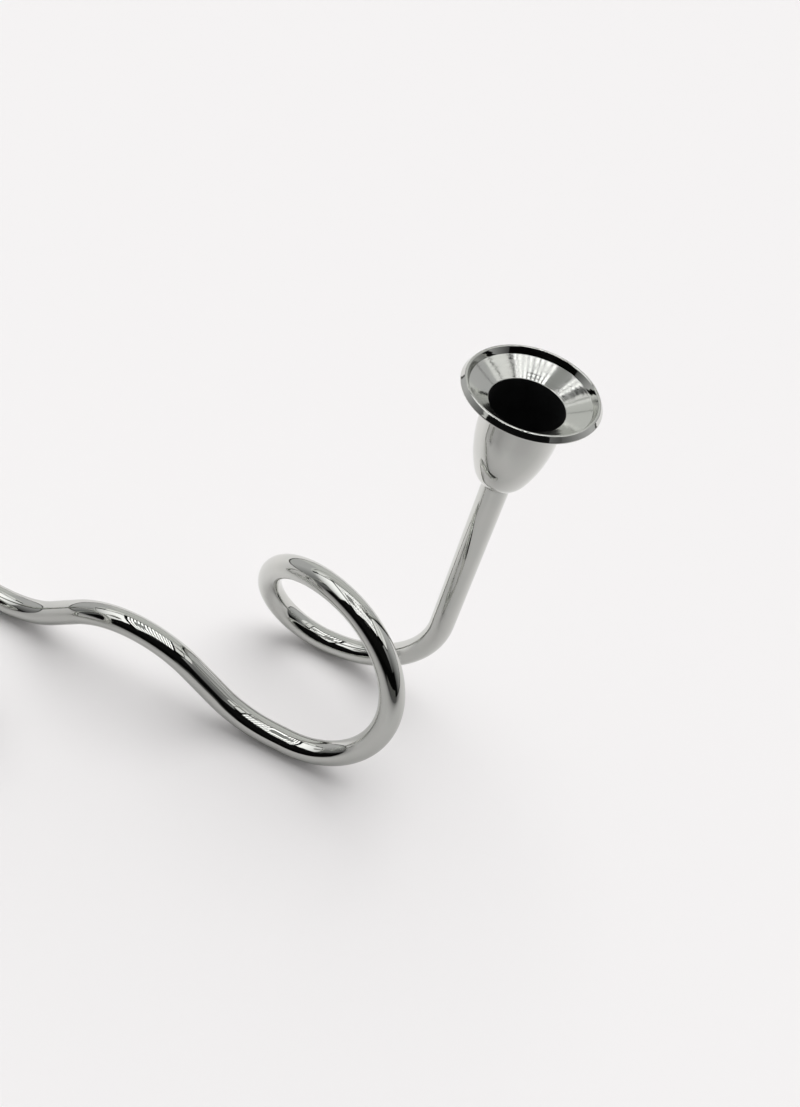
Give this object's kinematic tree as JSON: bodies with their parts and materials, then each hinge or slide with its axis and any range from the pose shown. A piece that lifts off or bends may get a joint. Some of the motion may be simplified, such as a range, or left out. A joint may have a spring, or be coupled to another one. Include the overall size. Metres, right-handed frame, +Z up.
{
  "type": "spiral candle holder",
  "caption": "Table candle holder bent from one bright plated tube: a low wave between standing loops, with a spun candle cup on each upright stem.",
  "frame": {"origin": "on the table under the middle of the wave, on the axis of the half-turn symmetry", "axes": "+X along the wave towards the right stem, +Y towards the back, +Z up"},
  "size_m": [0.2344, 0.1368, 0.1546],
  "materials": {
    "chrome_tube": "polished mirror plating",
    "chrome_cup": "polished mirror plating on spun sheet",
    "brass_plug": "turned, plain",
    "steel_screw": "zinc plated"
  },
  "bodies": {
    "root": {"bent_tube": "chrome_tube", "candle_cup_right": "chrome_cup", "end_plug_right": "brass_plug", "cup_screw_right": "steel_screw", "cup_washer_right": "steel_screw", "candle_cup_left": "chrome_cup", "end_plug_left": "brass_plug", "cup_screw_left": "steel_screw", "cup_washer_left": "steel_screw"}
  },
  "joints": []
}
